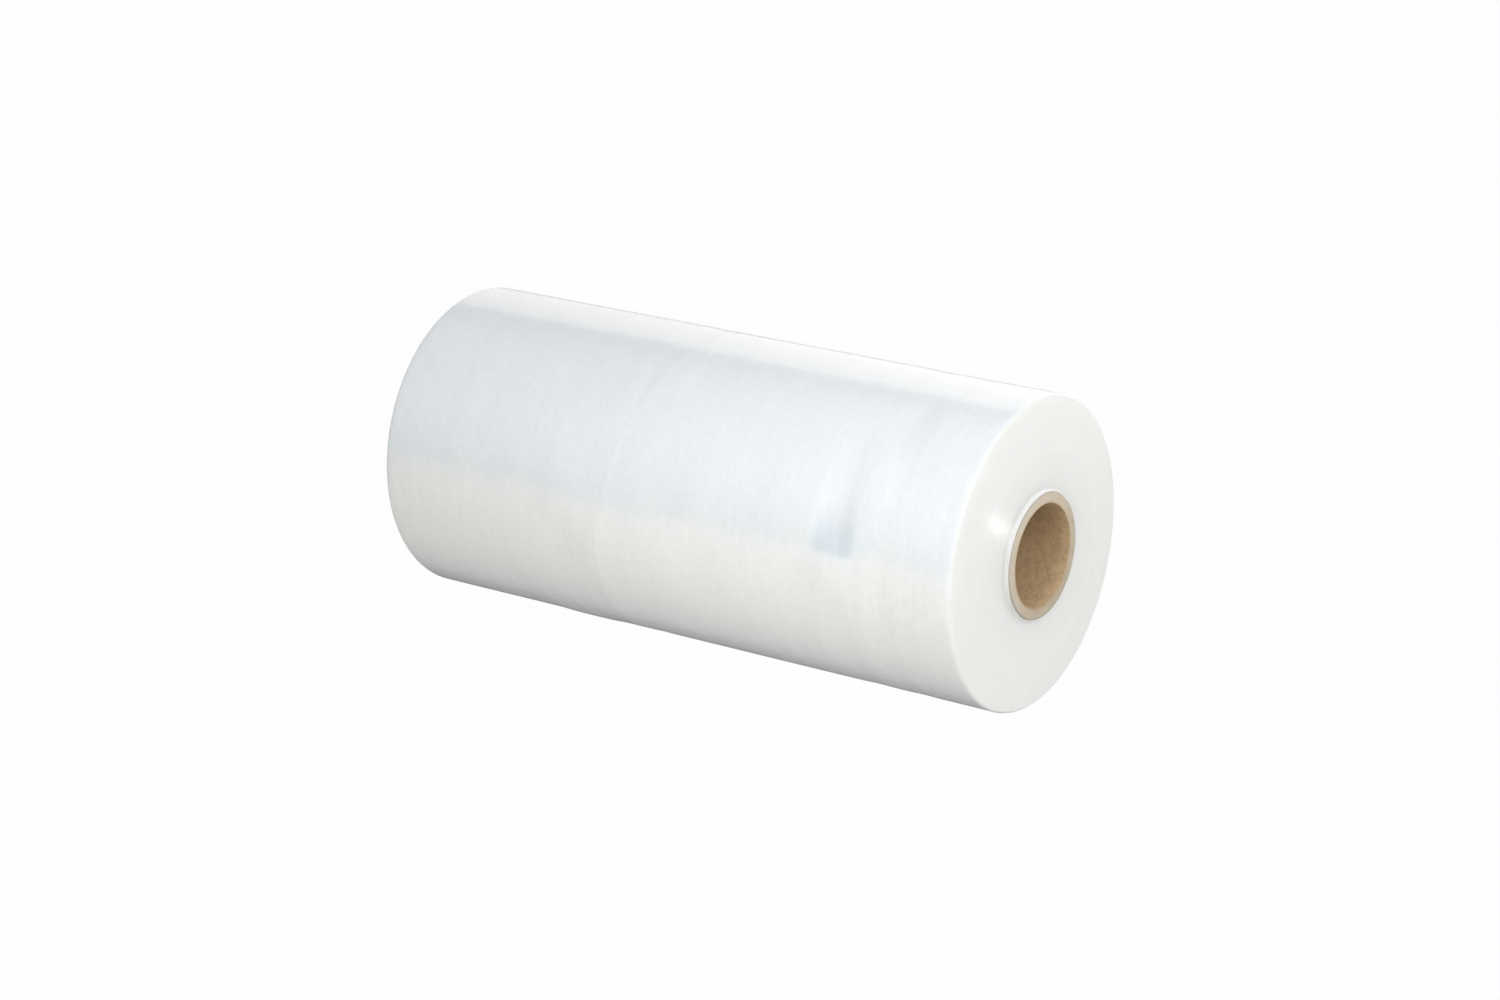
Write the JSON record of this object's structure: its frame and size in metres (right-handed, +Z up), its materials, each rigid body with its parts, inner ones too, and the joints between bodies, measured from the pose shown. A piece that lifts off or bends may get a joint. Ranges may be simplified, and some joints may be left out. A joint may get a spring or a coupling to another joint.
{
  "type": "stretch wrap roll",
  "caption": "Roll of clear stretch film for pallet wrapping, wound on a spiral cardboard core with an open bore at both ends.",
  "frame": {"origin": "middle of the base, on the plane of the core's lower end", "axes": "+Z up along the core's axis, towards the end that the picture shows; +X towards the small flat on the side that the roll lies on in the picture; the picture looks from -Y"},
  "size_m": [0.2296, 0.23, 0.51],
  "materials": {
    "stretch_film": "milky white with a glossy, silky film surface",
    "core_board": "uncoated kraft and grey board, cut clean at the ends"
  },
  "bodies": {
    "root": {"core_tube": "core_board", "film_roll": "stretch_film"}
  },
  "joints": []
}
